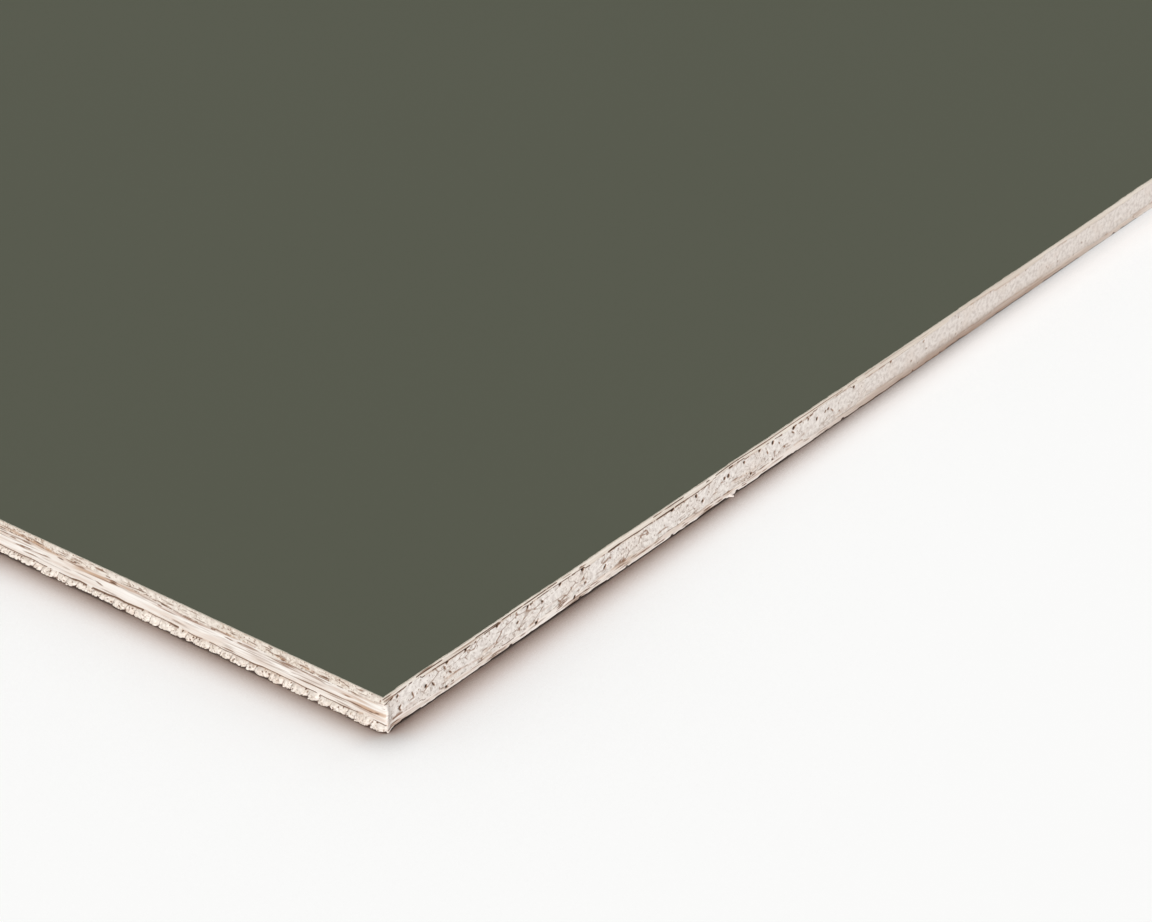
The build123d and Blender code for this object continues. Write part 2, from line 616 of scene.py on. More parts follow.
def dashes(walk, seed, broken):
    """The strength of a broken line at each column, and 0 in its gaps; cover is about the share drawn."""
    wander = 0.0
    for step, (scale, weight) in enumerate(DASH_OCTAVES):
        wander = wander + weight * cloud(seed + step, walk.run / (scale * broken.dash))
    edge = (0.5 - broken.cover) * COVER_GAIN
    return broken.strength * soft_step(wander, edge - DASH_BLEND, edge + DASH_BLEND)


def open_seam(wall, line, seam):
    """Mark a seam on one of the two walls that meet at it."""
    walk = wall.walk
    on_end = dashes(walk, seam.seed, seam.on_end)
    on_rip = dashes(walk, seam.seed + RIP_SEED, seam.on_rip)
    drawn = np.where(walk.crosscut, on_end, on_rip) * walk.crisp
    swell = soft_step(cloud(seam.seed + SWELL_SEED, walk.run / SWELL_WAVE), *SWELL_SPAN)
    thick = SEAM_THIN + (SEAM_THICK - SEAM_THIN) * swell
    wall.draw(wall.dark, line, drawn, thick)
    wall.draw(wall.hollow, line, SEAM_DEPTH * drawn, thick)
    wall.draw(wall.stain, line, dashes(walk, seam.seed + SOAK_SEED, SOAKED_GLUE), seam.stain_reach)


print("seams: lower and upper")

# %% [markdown]
# ## Room for the walls
#
# An export bakes the colours of a piece into one square picture. A plain unwrap would give nearly all of it
# to the wide caps and a row or two of pixels to the walls, where the detail is. So each piece brings its
# own map. The wall is cut into strips that lie one above the other, with less room for the far stretches,
# and a cap that nobody sees is drawn small.

# %% A map that favours the walls
BAKE_MAP = "OFBake"
STRIPS = 12
STRIP_FILL = 0.08, 0.92
FAR_ROOM = 0.25
HIDDEN_CAP, SHOWN_CAP = 0.25, 0.99
CAP_SHAPE = half_width / half_length


def wall_map(wall, base):
    """Where each corner of each face of a wall lies on the map, in strips above the given height."""
    walk = wall.walk
    room = np.diff(np.append(walk.run, walk.length)) * np.where(walk.close, 1, FAR_ROOM)
    begun = np.cumsum(room) - room
    strip = (begun / room.sum() * STRIPS).astype(int)
    left = begun - begun[np.searchsorted(strip, np.arange(STRIPS))][strip]
    right = left + room
    across = np.stack((left, right, right, left), 1) / right.max()
    rise = np.interp(wall.share[0], (0, 1), STRIP_FILL)
    rise = np.stack((rise[:-1], rise[:-1], rise[1:], rise[1:]), 1)
    up = base + (1 - base) / STRIPS * (strip[:, None, None] + rise)
    return np.stack((np.broadcast_to(across[:, None, :], up.shape), up), -1).reshape(-1, 2)


def cap_map(places, size, base):
    """Where points of a cap lie on the map: its plan at the given size, above the given height."""
    plan = (places[:, :2] + (half_length, half_width)) / (2 * half_length)
    return plan.clip(0, 1) * size + (0, base)


def lay_map(mesh, wall, points, wall_corners, cap_sizes):
    """Give a closed piece its map."""
    corners = np.zeros(len(mesh.loops), np.int32)
    mesh.loops.foreach_get("vertex_index", corners)
    low_cap, high_cap = np.split(points[corners[wall_corners:]], 2)
    low_top, high_top = np.cumsum(cap_sizes) * CAP_SHAPE
    low_spots, high_spots = cap_map(low_cap, cap_sizes[0], 0), cap_map(high_cap, cap_sizes[1], low_top)
    spots = np.concatenate((wall_map(wall, high_top), low_spots, high_spots))
    mesh.uv_layers.new(name=BAKE_MAP, do_init=False).data.foreach_set("uv", spots.astype(np.float32).ravel())


print("a map of", STRIPS, "strips for each wall")

# %% [markdown]
# ## Worn corners
#
# The corners of the sheet are worn round, but not at the film and the foot, and a knock pushed the lower
# part of the near one aside. A bevel would tangle the narrow columns there, so the columns near a corner
# are moved instead: inwards, and a little along their side.

# %% Points of a wall
ARRIS_KEPT = 0.15
CRISP_ARRIS, WORN_ARRIS = 0.06, 0.4
MITRE = 1 - math.sqrt(0.5)
CORNER_KNOCK, KNOCK_REACH = (0.12, -0.30), 0.8
WORN_FROM_SHARES, WORN_TO_SHARES = (0.02, 0.35), (0.5, 0.95)


def rounded_arris(walk, radius):
    """How far a rounded corner moves each point: inwards, and along its side towards the middle."""
    past = 1 - (walk.corner_gap[:, None] / radius).clip(0, 1)
    inwards = radius * (1 - np.sqrt(1 - ((1 - MITRE) * past) ** 2))
    return inwards, radius * MITRE * past * (past < 1)


def wall_points(wall):
    """The wall's grid of points in millimetres, with its relief, its hollows and its worn corners."""
    walk = wall.walk
    share_up = wall.height / (sheet_thickness / MM)
    low_down = 1 - soft_step(share_up, *WORN_TO_SHARES)
    worn = low_down * soft_step(share_up, *WORN_FROM_SHARES)
    inwards, along = rounded_arris(walk, CRISP_ARRIS + (WORN_ARRIS - CRISP_ARRIS) * worn)
    outward = (wall.relief - wall.hollow) * soft_step(walk.corner_gap, 0, ARRIS_KEPT)[:, None] - inwards
    ahead = np.column_stack((-walk.out[:, 1], walk.out[:, 0])) * np.where(walk.share < 0.5, 1, -1)[:, None]
    flat = walk.place[:, None, :] + walk.out[:, None, :] * outward[:, :, None]
    flat = flat + ahead[:, None, :] * along[:, :, None]
    from_corner = np.minimum(walk.run, walk.length - walk.run)
    knock = np.exp(-(from_corner / KNOCK_REACH) ** 2)[:, None] * low_down
    return np.concatenate((flat + knock[:, :, None] * CORNER_KNOCK, wall.height[:, :, None]), axis=2)


print(f"corners worn by {CRISP_ARRIS} to {WORN_ARRIS} mm")

# %% [markdown]
# ## From a wall to a closed piece
#
# A layer is its wall plus two flat caps. One polygon with thousands of corners would break into slivers, so
# each cap steps inwards: the rim meets a ring with a sixteenth of its columns, the ring meets four points,
# and they close it. The maps of the wall go along as numbers on its points, for the finish to read.

# %% Caps that step inwards
RING_EVERY = 16
RING_INSET, HUB_INSET = 0.9, 8.0


def funnel(rim, hub, nearest):
    """Triangles between a closed rim and a smaller hub: each rim point goes to its nearest hub point."""
    faces = []
    for column, start in enumerate(rim):
        after = (column + 1) % len(rim)
        here, there = hub[nearest[column]], hub[nearest[after]]
        faces.append((start, rim[after], here))
        if there != here:
            faces.append((rim[after], there, here))
    return faces


def cap_plan(walk):
    """The columns of a cap's ring, the ring point for each column and the hub point for each ring point."""
    columns = np.arange(len(walk.run))
    within = columns - walk.starts[walk.side]
    spaced = (within % RING_EVERY == 0) & (walk.corner_gap > 2 * RING_INSET)
    ring = np.flatnonzero((within == 0) | spaced)
    middles = (ring + np.append(ring[1:], len(columns))) / 2
    to_ring = np.searchsorted(middles, columns) % len(ring)
    to_hub = (walk.side[ring] + (walk.share[ring] > 0.5)) % len(walk.starts)
    return ring, to_ring, to_hub


print("a coarse cap has a ring of", len(cap_plan(coarse)[0]), "points")

# %% Close a wall with caps
# A hollow this deep gets the full painted shade; shallower hollows get less.
SHADE_FULL_DEPTH = 0.11


def paint_maps(mesh, wall):
    """Write the maps onto the points of the wall, with a painted shade in each hollow that grows with its
    depth; the points of the caps get 0.
    """
    dark = np.maximum(wall.dark, np.clip(wall.hollow / SHADE_FULL_DEPTH, 0, 1))
    on_end, crisp = (values[:, None] for values in (wall.walk.end_share, wall.walk.crisp))
    for label, values in (("dark", dark), ("stain", wall.stain), ("on_end", on_end), ("crisp", crisp)):
        painted = np.zeros(len(mesh.vertices), np.float32)
        painted[:wall.height.size] = np.broadcast_to(values, wall.height.shape).reshape(-1)
        mesh.attributes.new(label, "FLOAT", "POINT").data.foreach_set("value", painted)


def close_wall(name, wall, levels, cap_sizes):
    """The closed piece of a wall, with the flat heights of its two caps and their sizes on the map."""
    walk = wall.walk
    columns, rows = wall.height.shape
    points = [wall_points(wall).reshape(-1, 3)]
    index = np.arange(columns * rows).reshape(columns, rows)
    after = np.roll(index, -1, axis=0)
    faces = np.stack((index[:, :-1], after[:, :-1], after[:, 1:], index[:, 1:]), -1).reshape(-1, 4).tolist()
    wall_faces = len(faces)

    ring_columns, to_ring, to_hub = cap_plan(walk)
    ring_places = walk.place[ring_columns] - walk.out[ring_columns] * RING_INSET
    hub_places = walk.place[walk.starts] - walk.out[walk.starts] * HUB_INSET
    inner = np.concatenate((ring_places, hub_places))
    made = columns * rows
    for row, level in ((0, levels[0]), (-1, levels[1])):
        points.append(np.column_stack((inner, np.full(len(inner), level))))
        ring = range(made, made + len(ring_places))
        hub = range(made + len(ring_places), made + len(inner))
        cap = funnel(index[:, row].tolist(), ring, to_ring) + funnel(ring, hub, to_hub) + [tuple(hub)]
        faces += cap if row else [face[::-1] for face in cap]
        made += len(inner)

    mesh = bpy.data.meshes.new(name)
    points = np.concatenate(points)
    mesh.from_pydata((points * MM).tolist(), [], faces)
    mesh.polygons.foreach_set("use_smooth", np.arange(len(faces)) < wall_faces)
    paint_maps(mesh, wall)
    lay_map(mesh, wall, points, 4 * wall_faces, cap_sizes)
    piece = bpy.data.objects.new(name, mesh)
    scene.collection.objects.link(piece)
    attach(piece, "root")
    print(f"{name}: {columns} columns, {rows} rows, {sum(len(face) - 2 for face in faces)} triangles")
    return piece


# %% [markdown]
# ## Core veneer
#
# The thick middle layer runs across the sheet. So the long front edge shows its end grain: smudges, pits,
# short strokes and rounded pebbles where bundles of fibre were cut. The short left end shows its side, smooth
# and pale with a few splits, and resin stains that were placed one by one, by their distance from the near
# corner.

# %% Kinds of marks, and those of the core
FRONT, LEFT_END = False, True
ALL_WAYS, LEVEL, STEEP = (0, math.pi), (-0.06, 0.06), (-1.3, -0.4)
PIT = Marks((0.14, 0.25), (0.12, 0.19), (0.16, 0.24), ALL_WAYS)
SEAM_PIT = Marks((0.17, 0.30), (0.15, 0.22), (0.17, 0.26), ALL_WAYS)
PORE = Marks((0.06, 0.10), (0.05, 0.09), (0.06, 0.14), ALL_WAYS)
STROKE = Marks((0.15, 0.45), (0.09, 0.12), (0.05, 0.12), STEEP)
SPLIT = Marks((0.5, 2.4), (0.09, 0.12), (0.02, 0.06), LEVEL)
DASH = Marks((0.3, 1.0), (0.045, 0.06), (0.04, 0.10), LEVEL)
STREAK = Marks((0.7, 3.2), (0.06, 0.09), (0.02, 0.08), LEVEL)
SMEAR = Marks((0.6, 2.2), (0.07, 0.20), (0.25, 0.75), LEVEL)
FAINT_SMEAR = Marks((1.0, 3.5), (0.10, 0.30), (0.12, 0.42), LEVEL)
# A row: the map, a seed, the side, marks per millimetre, their kind, and the band of the wall if not all.
CORE_MARKS = (
    ("hollow", 5, FRONT, 0.22, PIT, (0.1, 0.9)),
    ("hollow", 6, FRONT, 0.14, SEAM_PIT, (0.93, 1.0)),
    ("hollow", 7, FRONT, 1.2, PORE),
    ("hollow", 8, FRONT, 0.35, STROKE),
    ("hollow", 9, FRONT, 0.8, SPLIT._replace(half_lengths=(0.3, 0.9)), (0, 0.35)),
    ("hollow", 10, LEFT_END, 0.5, SPLIT),
    ("hollow", 11, LEFT_END, 0.4, DASH._replace(half_heights=(0.06, 0.08)), (0.75, 1.0)),
    ("stain", 12, LEFT_END, 0.22, SMEAR, (0.6, 1.0)),
    ("stain", 14, FRONT, 0.4, SMEAR, (0, 0.35)),
    ("stain", 15, LEFT_END, 0.8, FAINT_SMEAR),
)
# Placed marks: distance from the near corner, height, half length and half height, and lean.
STAINS_ON_LEFT = (
    (2.0, 1.84, (2.7, 0.27), 0.0), (4.5, 2.30, (0.8, 0.14), 0.05), (9.3, 3.25, (1.1, 0.15), -0.05),
    (12.7, 3.00, (0.8, 0.12), -0.08), (20.0, 2.85, (1.6, 0.12), 0.0), (24.5, 2.62, (3.2, 0.15), 0.0),
    (27.5, 2.40, (2.2, 0.13), 0.0), (35.8, 2.66, (5.8, 0.24), 0.04), (45.5, 3.12, (4.2, 0.20), -0.06),
)
SPLITS_ON_LEFT = (
    (7.7, 1.66, (4.4, 0.08), 0.02), (3.5, 1.76, (1.1, 0.10), -0.03), (1.6, 1.70, (0.35, 0.09), 0.0),
    (0.9, 1.82, (0.25, 0.08), 0.1), (37.0, 1.84, (0.6, 0.09), -0.2),
)
print(len(CORE_MARKS), "rows of marks for the core, and", len(STAINS_ON_LEFT), "placed stains")

# %% Core veneer
CORE_FAR_STEP, CORE_ROWS = 3.0, 32
CORE_SIDE_WAVES = (9.0, 0.25, 0.008), (24.0, 0.7, 0.012)
CORE_CUT_WAVES = (0.6, 0.5, 0.014), (0.23, 0.23, 0.010), (3.2, 1.6, 0.02)
PEBBLE_LENGTH, PEBBLE_HEIGHT, PEBBLE_DARK = 3.4, 1.5, 0.5
PEBBLE_BENDS, PEBBLE_PATCHES = (1.5, 0.8, 0.3), (3.0, 1.2, 1.0)
PEBBLE_RIM, PEBBLE_SHOWS = (0.88, 0.97), (-0.15, 0.25)
STREAKS_PER_MM, STREAK_BAND = 1.6, (0.25, 0.9)
STREAK_PATCH, STREAK_SHOWS = 8.0, (-0.3, 0.3)
STAIN_RIM_SHARE, STAIN_RIM_HEIGHT, STAIN_RIM_DARK = 0.55, 0.07, 0.55
SPLIT_DARK = 0.7

walk = Walk(CORE_FAR_STEP, CORE_FAR_STEP)
core_wall = Wall(walk, lower_line(walk), upper_line(walk), np.linspace(0, 1, CORE_ROWS))
smooth_side = core_wall.waves(21, *CORE_SIDE_WAVES)
cut_fibres = core_wall.waves(31, *CORE_CUT_WAVES) * walk.crisp[:, None]
core_wall.relief = np.where(core_wall.on_end, smooth_side, cut_fibres)
bent = core_wall.waves(25, PEBBLE_BENDS)
pebbles = cells(27, core_wall.run / PEBBLE_LENGTH + bent, core_wall.height / PEBBLE_HEIGHT + bent)
outlined = soft_step(pebbles, *PEBBLE_RIM) * soft_step(core_wall.waves(28, PEBBLE_PATCHES), *PEBBLE_SHOWS)
core_wall.dark = PEBBLE_DARK * outlined * (core_wall.close & ~core_wall.on_end) * walk.crisp[:, None]
open_seam(core_wall, lower_line(walk), LOWER_SEAM)
open_seam(core_wall, upper_line(walk), UPPER_SEAM)
core_wall.shade_foot()
streaks = np.zeros_like(core_wall.hollow)
marked = core_wall.scatter(streaks, 22, LEFT_END, STREAKS_PER_MM, STREAK, STREAK_BAND)
patchy = soft_step(cloud(24, walk.run / STREAK_PATCH), *STREAK_SHOWS)
core_wall.hollow = np.maximum(core_wall.hollow, streaks * patchy[:, None])
marked += core_wall.scatter_all(CORE_MARKS)
core_wall.place(core_wall.stain, STAINS_ON_LEFT, 1.0)
core_wall.place(core_wall.dark, SPLITS_ON_LEFT, SPLIT_DARK)
for distance, height, (reach, rise), lean in STAINS_ON_LEFT:
    rim = distance, height - rise / 2, (STAIN_RIM_SHARE * reach, STAIN_RIM_HEIGHT), lean
    core_wall.place(core_wall.dark, [rim], STAIN_RIM_DARK)
core = close_wall("core_veneer_sawn", core_wall, layers["core_veneer"], (HIDDEN_CAP, HIDDEN_CAP))
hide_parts("core_veneer")
print(marked, "scattered marks in the core")

# %% [markdown]
# ## Face veneer
#
# Under the film lies a thin veneer whose grain follows the long side. Along the front it shows as a pale
# strip with a fine crack just below the film. Across the left end it shows as small grains and pores.

# %% Face veneer
FACE_FAR_RIP_STEP, FACE_FAR_END_STEP, FACE_ROWS = 1.2, 0.5, 18
FACE_SIDE_WAVES = (9.0, 0.2, 0.010), (24.0, 0.4, 0.010)
FACE_CUT_WAVES = (0.5, 0.4, 0.018), (0.2, 0.2, 0.014)
CRACK, CRACK_HALF_HEIGHT = Broken(3.0, 0.61, 1), 0.07
CRACK_DROP, CRACK_SWAY, CRACK_WAVE = 0.21, 0.09, 5
SOAK_REACH, SOAK_STRENGTH = 0.16, 0.25
FACE_MARKS = (
    ("hollow", 13, LEFT_END, 1.2, DASH, (0.0, 0.8)),
    ("hollow", 16, LEFT_END, 2.5, PORE._replace(strengths=(0.03, 0.09))),
    ("hollow", 17, FRONT, 0.25, SPLIT),
)

walk = Walk(FACE_FAR_RIP_STEP, FACE_FAR_END_STEP)
film_level = layers["face_veneer"][1]
face_wall = Wall(walk, upper_line(walk), np.full(len(walk.run), film_level), np.linspace(0, 1, FACE_ROWS))
smooth_side, cut_fibres = face_wall.waves(51, *FACE_SIDE_WAVES), face_wall.waves(55, *FACE_CUT_WAVES)
face_wall.relief = np.where(face_wall.on_end, cut_fibres, smooth_side)
open_seam(face_wall, upper_line(walk), UPPER_SEAM)
crack_line = film_level - CRACK_DROP + CRACK_SWAY * cloud(65, walk.run / CRACK_WAVE)
cracked = dashes(walk, 66, CRACK) * ~walk.crosscut * walk.crisp
face_wall.draw(face_wall.dark, crack_line, cracked, CRACK_HALF_HEIGHT)
face_wall.draw(face_wall.hollow, crack_line, SEAM_DEPTH * cracked, CRACK_HALF_HEIGHT)
face_wall.draw(face_wall.stain, face_wall.high[:, 0], SOAK_STRENGTH * walk.crosscut, SOAK_REACH)
marked = face_wall.scatter_all(FACE_MARKS)
face_wall.place(face_wall.stain, STAINS_ON_LEFT, 1.0)
face = close_wall("face_veneer_sawn", face_wall, layers["face_veneer"], (HIDDEN_CAP, HIDDEN_CAP))
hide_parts("face_veneer")
print(marked, "scattered marks in the face veneer")

# %% [markdown]
# ## Back veneer
#
# Nothing held the back veneer when the saw came out through it. Across the grain its fibres tore off in
# rounded bundles. The solid already has them as arcs, so their places are read from its outline: the cusps
# between bundles are the points that lie furthest in. The bundles lie over each other like shingles: each one
# has a round heel at one side and thins out towards the other. They break up into lobes and teeth that stand
# a little proud of the core, with thin brown lines of painted shade in the crevices between them, which lean
# over as they rise and darken towards the foot.

# %% Torn bundles
SHINGLE, SHINGLE_RISE, SHINGLE_DEPTH = 0.9, 0.30, 0.18
HEEL, HEEL_RISE = 0.30, 0.14
SAG_LENGTH, SAG_RISE, SAG_SHIFT = 3.5, 0.16, 0.3
TEAR_LEAN, LEAN_SWAY = 0.35, (2.0, 0.4, 0.10)
LOBE_LENGTH, LOBE_RISE, LOBE_POWER = 0.75, 0.20, 7
GRAIN_LENGTH, GRAIN_HEIGHT, GRAIN_DEPTH = 0.55, 0.42, 0.14
GRAIN_RIM, GRAIN_PATCHES, GRAIN_SHOWS = (0.83, 0.97), (0.9, 0.5, 1.0), (-0.1, 0.5)
PROUD, LUCK_REACH, ROLL = 0.31, 0.12, 0.4
CURL, CURL_POWER = 0.06, 8
TOOTH_LENGTH, TOOTH_RISE, TOOTH_POWER = 0.3, 0.09, 4
FOOT_CLEARANCE, CUSP_TOLERANCE = 0.01, 0.001
# Painted shade in the gaps between bundles and on the rims of the grains, stronger towards the foot.
GAP_HALF_WIDTH, GAP_SHADE, GAP_SHADE_ABOVE = 0.06, 0.75, 0.3
GRAIN_SHADE, GRAIN_SHADE_ABOVE = 0.65, 0.4

outline = np.array([vertex.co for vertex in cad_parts["back_veneer"].data.vertices]) / MM
cusp_x = np.abs(outline[:, 0]).min()
cusps = np.unique(outline[np.abs(outline[:, 0]) < cusp_x + CUSP_TOLERANCE, 1].round(3))
print(len(cusps) - 1, "torn bundles on each end")


def bundles_at(across, side):
    """Distances from the cusp behind and from the one ahead, and a number from 0 to 1 for the bundle."""
    bundle = np.clip(np.searchsorted(cusps, across) - 1, 0, len(cusps) - 2)
    behind, ahead = across - cusps[bundle], cusps[bundle + 1] - across
    return behind.clip(0), ahead.clip(0), scrambled(cell_keys(70, [bundle, side]))


def torn_foot(walk):
    """Height of the torn foot: a slope and a heel on each bundle, notches between lobes, and fine teeth."""
    behind, ahead, luck = bundles_at(walk.place[:, 1], walk.side)
    slope = SHINGLE_RISE * luck ** 2 * (1 - behind / SHINGLE).clip(0) ** 2
    heel = HEEL_RISE * (1 - luck) * (1 - ahead / HEEL).clip(0) ** 2
    sag = SAG_RISE * (SAG_SHIFT + cloud(73, walk.run / SAG_LENGTH)).clip(0)
    lobes = LOBE_RISE * cells(71, walk.run / LOBE_LENGTH) ** LOBE_POWER
    teeth = TOOTH_RISE * cells(72, walk.run / TOOTH_LENGTH) ** TOOTH_POWER
    return np.maximum(slope + heel + sag + lobes + teeth, FOOT_CLEARANCE)


def tear(wall):
    """Relief of the torn bundles, and painted shade in the crevices between bundles and grains, darker
    towards the foot.
    """
    low_down = 1 - wall.share
    lean = (TEAR_LEAN + wall.waves(74, LEAN_SWAY)) * wall.share
    behind, ahead, luck = bundles_at(wall.walk.place[:, 1:] + lean, wall.walk.side[:, None])
    thinned = (1 - behind / SHINGLE).clip(0) ** 2
    grains = cells(75, wall.run / GRAIN_LENGTH, wall.height / GRAIN_HEIGHT)
    relief = PROUD + LUCK_REACH * (luck - 0.5) - SHINGLE_DEPTH * thinned
    relief = relief - GRAIN_DEPTH * grains ** 3 - CURL * low_down ** CURL_POWER
    relief = relief * soft_step(low_down, 0, ROLL)
    gaps = GAP_SHADE * np.exp(-(np.minimum(behind, ahead) / GAP_HALF_WIDTH) ** 2)
    gaps = gaps * (GAP_SHADE_ABOVE + (1 - GAP_SHADE_ABOVE) * low_down)
    rims = GRAIN_SHADE * soft_step(grains, *GRAIN_RIM) * soft_step(wall.waves(76, GRAIN_PATCHES), *GRAIN_SHOWS)
    return relief, np.maximum(gaps, rims * (GRAIN_SHADE_ABOVE + (1 - GRAIN_SHADE_ABOVE) * low_down))


# %% [markdown]
# Along the grain only chips came off the foot. They leave small steps, a nick here and there and a fray.
# A thin lip runs along the foot, and it is painted black as the contact shadow under the front edge. Two
# close rows make it.

# %% Chipped foot and the closed piece
BACK_FAR_RIP_STEP, BACK_FAR_END_STEP = 1.2, 0.3
BURR_SHARES, SHADOW_ROWS, BACK_ROWS = (0, 0.03, 0.05), 2, 15
BACK_SIDE_WAVES = (8.0, 0.2, 0.012), (24.0, 0.4, 0.010), (1.4, 0.25, 0.022)
FLARE = 0.06
STEP_LENGTH, STEP_RISE, STEP_EDGE = 4.0, 0.10, (0.05, 0.10)
FRAY_LENGTH, FRAY_RISE = 0.7, 0.09
NICK_SPACING, NICK_RISE, NICK_SPAN = 11.0, 0.20, (0.008, 0.03)
NICK_CORNER_GAP = 1.0, 3.0
BURR_REACH, BURR_SWAY, BURR_WAVE, BURR_CORNER_GAP = 0.085, 0.03, 1.5, 0.8
BURR_FADES, BURR_LOST = (60, 125), 0.9
SPLINTER_RUN, SPLINTER_REACH, SPLINTER_PROUD = 54.4, (0.28, 0.16), 0.45
BACK_MARKS = (
    ("hollow", 18, LEFT_END, 2.2, PORE),
    ("hollow", 19, FRONT, 0.4, SPLIT),
    ("hollow", 20, FRONT, 0.55, DASH, (0.2, 0.9)),
    ("hollow", 23, FRONT, 0.05, PIT, (0.5, 1.0)),
    ("stain", 21, FRONT, 0.3, SMEAR, (0.3, 1.0)),
)


def chipped_foot(walk):
    """Height of the foot along the grain: steps, nicks and a fray, which keep away from the corners."""
    steps = STEP_RISE * soft_step(cloud(78, walk.run / STEP_LENGTH), *STEP_EDGE)
    nicks = NICK_RISE * (1 - soft_step(cells(79, walk.run / NICK_SPACING), *NICK_SPAN))
    fray = FRAY_RISE * cloud(84, walk.run / FRAY_LENGTH).clip(0)
    return FOOT_CLEARANCE + (steps + nicks + fray) * soft_step(walk.corner_gap, *NICK_CORNER_GAP)


walk = Walk(BACK_FAR_RIP_STEP, BACK_FAR_END_STEP)
foot = np.where(walk.crosscut, torn_foot(walk), chipped_foot(walk))
row_shares = np.append(BURR_SHARES, np.linspace(BURR_SHARES[-1], 1, BACK_ROWS)[1:])
back_wall = Wall(walk, foot, lower_line(walk), row_shares)
torn_relief, torn_shade_lines = tear(back_wall)
smooth_side = back_wall.waves(81, *BACK_SIDE_WAVES) + FLARE * (1 - back_wall.share) ** 2
back_wall.relief = np.where(back_wall.on_end, torn_relief, smooth_side)
back_wall.dark = np.where(back_wall.on_end, torn_shade_lines, 0)
# A thin lip along the rip foot, with a painted contact shadow, black, on its two lowest rows.
lip_and_shadow = soft_step(walk.corner_gap, 0, BURR_CORNER_GAP) * ~walk.crosscut
lip_and_shadow = lip_and_shadow * walk.crispness(walk.run, BURR_FADES, BURR_LOST)
back_wall.relief[:, 0] += lip_and_shadow * (BURR_REACH + BURR_SWAY * cloud(77, walk.run / BURR_WAVE))
back_wall.press(back_wall.relief, SPLINTER_RUN, 0, SPLINTER_REACH, 0, SPLINTER_PROUD)
shadow_rows = back_wall.dark[:, :SHADOW_ROWS]
np.maximum(shadow_rows, lip_and_shadow[:, None], out=shadow_rows)
open_seam(back_wall, lower_line(walk), LOWER_SEAM)
back_wall.shade_foot()
marked = back_wall.scatter_all(BACK_MARKS)
back = close_wall("back_veneer_torn", back_wall, layers["back_veneer"], (SHOWN_CAP, HIDDEN_CAP))
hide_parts("back_veneer")
print(marked, "scattered marks in the back veneer")

# %% [markdown]
# ## Wood
#
# One recipe serves all three veneers. Noise that is stretched along the grain gives long streaks on a face
# along the grain, and the same noise cut across gives smudges, as in real wood. End grain adds thin curved
# lines, made where a twisted noise passes through its middle value. Stains and dark lines come from the maps
# that each wall carries, and so does painted shade, in hollows, in crevices and along the foot; a dark line
# or painted shade goes brown before it goes black. Where marks fade, a thin wash of the line tone stands in
# for them.

# %% Noise and tones of the wood
# The brown and the black of dark joints and marks, and of painted shade.
SEAM_AND_SHADE_BROWN = 0.30, 0.185, 0.125
BLACKENED = 0.030, 0.018, 0.013
RESIN = 0.56, 0.36, 0.23
GLUE_PINK = 0.56, 0.41, 0.34
Patch = namedtuple("Patch", "along across detail twist", defaults=(0,))
PATCHES = {
    "fibre": Patch(7, 0.16, 3), "streak": Patch(30, 0.5, 3), "tint": Patch(40, 3.0, 1),
    "smudge": Patch(3, 0.5, 4), "speck": Patch(1.5, 0.24, 1), "whorl": Patch(8, 1.6, 1, 1.8),
    "ripple": Patch(5, 0.6, 1, 1.4), "soaked": Patch(5, 0.35, 3),
}
MIDDLE, STREAK_WEIGHT = 0.5, 0.65
SIDE_SPAN, CUT_SPAN, SPECK_SPAN = (0.34, 0.60), (0.32, 0.62), (0.26, 0.36)
BLUSH_SPAN, SIDE_BLUSH, CUT_BLUSH = (0.5, 0.66), 0.25, 0.35
THREAD_WIDTH, THREAD_SHOWS, THREAD_WEIGHT = (0.006, 0.03), (0.5, 0.62), 0.4
BROAD_WIDTH, BROAD_SHOWS, BROAD_WEIGHT = (0.02, 0.05), (0.48, 0.62), 0.5
FINE_WIDTH, FINE_SHOWS, FINE_WEIGHT = (0.012, 0.05), (0.40, 0.56), 0.4
SPECK_WEIGHT, HAZE = 0.6, 0.22
SOAK_SPAN, SOAK_WEIGHT, RESIN_SPAN = (0.28, 0.52), 0.9, (0.44, 0.56)
BROWN_FROM, BLACK_FROM = (0.05, 0.6), (0.5, 1)
GRAIN_BUMP = {"Strength": 0.25, "Distance": 0.03 * MM}
Grain = namedtuple("Grain", PATCHES)


def grown(place, grain_axis):
    """Every noise of the wood, with patches that are long along the axis of the grain."""
    noises = []
    for patch in PATCHES.values():
        lengths = [patch.along if axis == grain_axis else patch.across for axis in range(3)]
        noises.append(place.noise(lengths, patch.detail, patch.twist))
    return Grain(*noises)


def thin_lines(noise, width, shown_by, shows):
    """Lines where a noise passes through its middle value, shown where another noise is high."""
    return (1 - abs(noise - MIDDLE).steps_up(*width)) * shown_by.steps_up(*shows)


print(len(PATCHES), "kinds of noise in the wood")

# %% Faces along and across the grain


def along_grain(grain, tones, blush, line_tone):
    """A face along the grain: long streaks, a blush and a few dark threads."""
    streaks = grain.streak * STREAK_WEIGHT + grain.fibre * (1 - STREAK_WEIGHT)
    wood = streaks.steps_up(*SIDE_SPAN).between(*tones)
    wood = (grain.tint.steps_up(*BLUSH_SPAN) * SIDE_BLUSH).between(wood, blush)
    threads = thin_lines(grain.streak, THREAD_WIDTH, grain.whorl, THREAD_SHOWS)
    return (threads * THREAD_WEIGHT).between(wood, line_tone)


